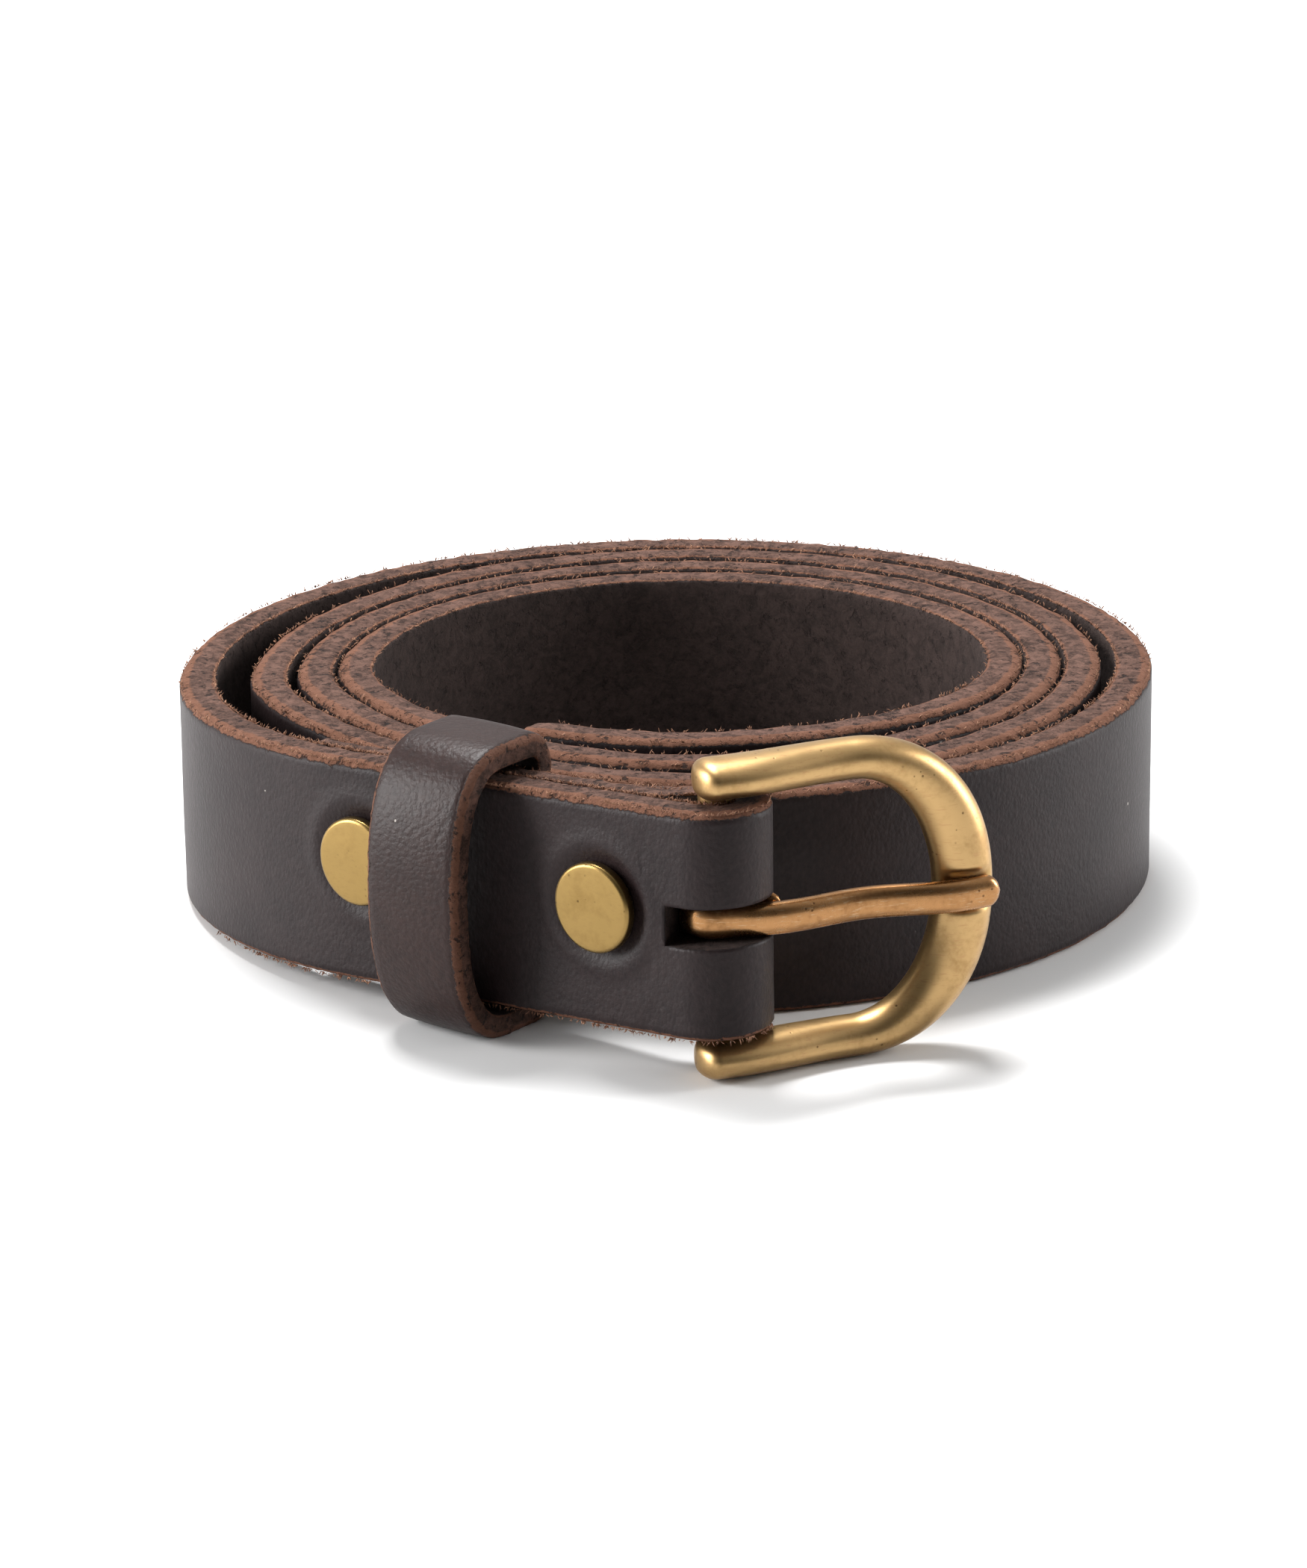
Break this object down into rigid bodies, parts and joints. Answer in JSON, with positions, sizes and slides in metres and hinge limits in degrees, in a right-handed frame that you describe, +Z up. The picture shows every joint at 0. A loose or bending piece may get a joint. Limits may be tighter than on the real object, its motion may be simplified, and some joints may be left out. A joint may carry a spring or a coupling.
{
  "type": "leather belt",
  "caption": "Dark brown leather belt coiled on its edge, with a solid brass horseshoe heel-bar buckle, a turning prong, a sliding leather keeper and flat-headed screw posts.",
  "frame": {"origin": "middle of the bounding box on the surface the coil stands on", "axes": "+Z up, across the strap's width; +Y away from the buckle, through the coil; +X to the right seen from the buckle's side"},
  "size_m": [0.1114, 0.1274, 0.035],
  "materials": {
    "bridle_leather": "waxed, satin",
    "keeper_leather": "waxed, satin",
    "antique_brass": "satin, antique patina",
    "copper_brass": "worn gloss",
    "post_brass": "satin",
    "staple_steel": "plain"
  },
  "bodies": {
    "strap": {"strap": "bridle_leather", "buckle_post": "post_brass", "buckle_post_screw": "post_brass", "coil_post": "post_brass", "coil_post_screw": "post_brass"},
    "buckle": {"buckle_frame": "antique_brass"},
    "prong": {"prong": "copper_brass"},
    "keeper": {"keeper": "keeper_leather", "left_staple": "staple_steel", "right_staple": "staple_steel"}
  },
  "joints": [
    {"name": "buckle_on_fold", "type": "hinge", "parent": "strap", "child": "buckle", "pos_m": [0.00465, -0.05767, 0.0175], "axis": [0, 0, -1], "range_deg": [-12, 40]},
    {"name": "prong_on_heel_bar", "type": "hinge", "parent": "buckle", "child": "prong", "pos_m": [0.00465, -0.05767, 0.0175], "axis": [0, 0, -1], "range_deg": [0, 50]},
    {"name": "keeper_on_strap", "type": "slide", "parent": "strap", "child": "keeper", "axis": [0.7866, -0.6146, 0.059], "range_m": [0, 0.0055]}
  ]
}
